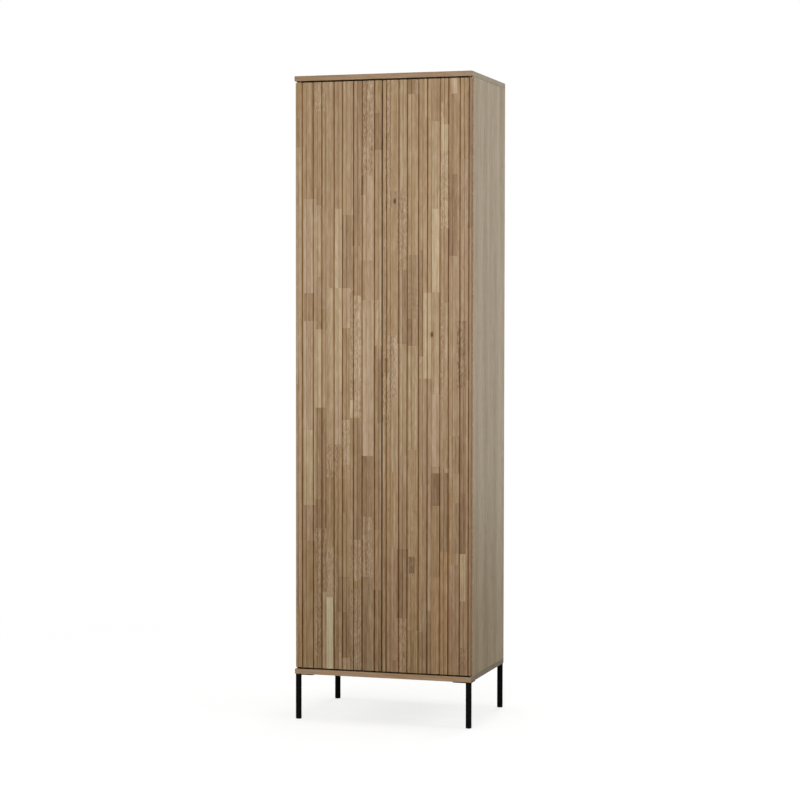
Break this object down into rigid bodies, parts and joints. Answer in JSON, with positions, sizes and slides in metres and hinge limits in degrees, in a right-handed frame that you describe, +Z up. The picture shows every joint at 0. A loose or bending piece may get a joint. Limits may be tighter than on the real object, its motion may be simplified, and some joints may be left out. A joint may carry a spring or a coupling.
{
  "type": "cabinet",
  "caption": "Tall narrow oak cabinet with full-height grooved doors without handles, shelves inside, and slim black metal legs.",
  "frame": {"origin": "on the floor, under the middle of the carcass", "axes": "+Z up, +X to the right seen from the front, +Y to the back; the doors face -Y"},
  "size_m": [0.57, 0.4, 2],
  "materials": {
    "oak_staves": "oiled oak staves, open grain",
    "oak_board": "matt oak veneer",
    "oak_back_board": "matt oak foil on fibreboard",
    "beech": "plain beech",
    "black_metal": "fine black powder coat",
    "black_plastic": "matt",
    "black_zinc": "black zinc plating",
    "grey_plastic": "matt",
    "white_plastic": "matt",
    "brass": "turned",
    "steel": "zinc plated"
  },
  "bodies": {
    "cabinet": {"back_panel": "oak_back_board", "back_panel_screws": "steel", "bottom_panel": "oak_board", "cam_bolts": "steel", "cam_locks": "steel", "fixed_shelf": "oak_board", "front_left_glide": "black_plastic", "front_left_leg": "black_metal", "front_left_leg_plate": "black_metal", "front_right_glide": "black_plastic", "front_right_leg": "black_metal", "front_right_leg_plate": "black_metal", "latch_screws": "steel", "left_latch_housing": "grey_plastic", "left_latch_spring": "steel", "left_side_panel": "oak_board", "left_wall_bracket": "steel", "leg_screws": "black_zinc", "loose_shelf_1": "oak_board", "loose_shelf_2": "oak_board", "loose_shelf_3": "oak_board", "loose_shelf_4": "oak_board", "lower_left_pivot_pin": "black_zinc", "lower_left_pivot_plate": "black_zinc", "lower_left_thrust_washer": "black_plastic", "lower_right_pivot_pin": "black_zinc", "lower_right_pivot_plate": "black_zinc", "lower_right_thrust_washer": "black_plastic", "pivot_plate_screws": "black_zinc", "rear_left_glide": "black_plastic", "rear_left_leg": "black_metal", "rear_left_leg_plate": "black_metal", "rear_right_glide": "black_plastic", "rear_right_leg": "black_metal", "rear_right_leg_plate": "black_metal", "right_latch_housing": "grey_plastic", "right_latch_spring": "steel", "right_side_panel": "oak_board", "right_wall_bracket": "steel", "shelf_pins": "steel", "top_panel": "oak_board", "upper_left_pivot_pin": "black_zinc", "upper_left_pivot_plate": "black_zinc", "upper_right_pivot_pin": "black_zinc", "upper_right_pivot_plate": "black_zinc", "wall_bracket_screws": "steel", "wood_dowels": "beech"},
    "left_door": {"left_door": "oak_staves", "left_strike_plate": "steel", "left_strike_screws": "steel", "lower_left_pivot_bush": "brass", "upper_left_pivot_bush": "brass"},
    "right_door": {"lower_right_pivot_bush": "brass", "right_door": "oak_staves", "right_strike_plate": "steel", "right_strike_screws": "steel", "upper_right_pivot_bush": "brass"},
    "left_plunger": {"left_latch_plunger": "white_plastic"},
    "right_plunger": {"right_latch_plunger": "white_plastic"}
  },
  "joints": [
    {"name": "left_door_swing", "type": "hinge", "parent": "cabinet", "child": "left_door", "pos_m": [-0.274, -0.19, 1.071], "axis": [0, 0, -1], "range_deg": [0, 110]},
    {"name": "right_door_swing", "type": "hinge", "parent": "cabinet", "child": "right_door", "pos_m": [0.274, -0.19, 1.071], "axis": [0, 0, 1], "range_deg": [0, 110]},
    {"name": "left_latch_press", "type": "slide", "parent": "cabinet", "child": "left_plunger", "axis": [0, 1, 0], "range_m": [0, 0.002], "stiffness_N_per_m": 400, "springref_m": -0.004, "deforming": ["left_latch_spring"]},
    {"name": "right_latch_press", "type": "slide", "parent": "cabinet", "child": "right_plunger", "axis": [0, 1, 0], "range_m": [0, 0.002], "stiffness_N_per_m": 400, "springref_m": -0.004, "deforming": ["right_latch_spring"]}
  ]
}
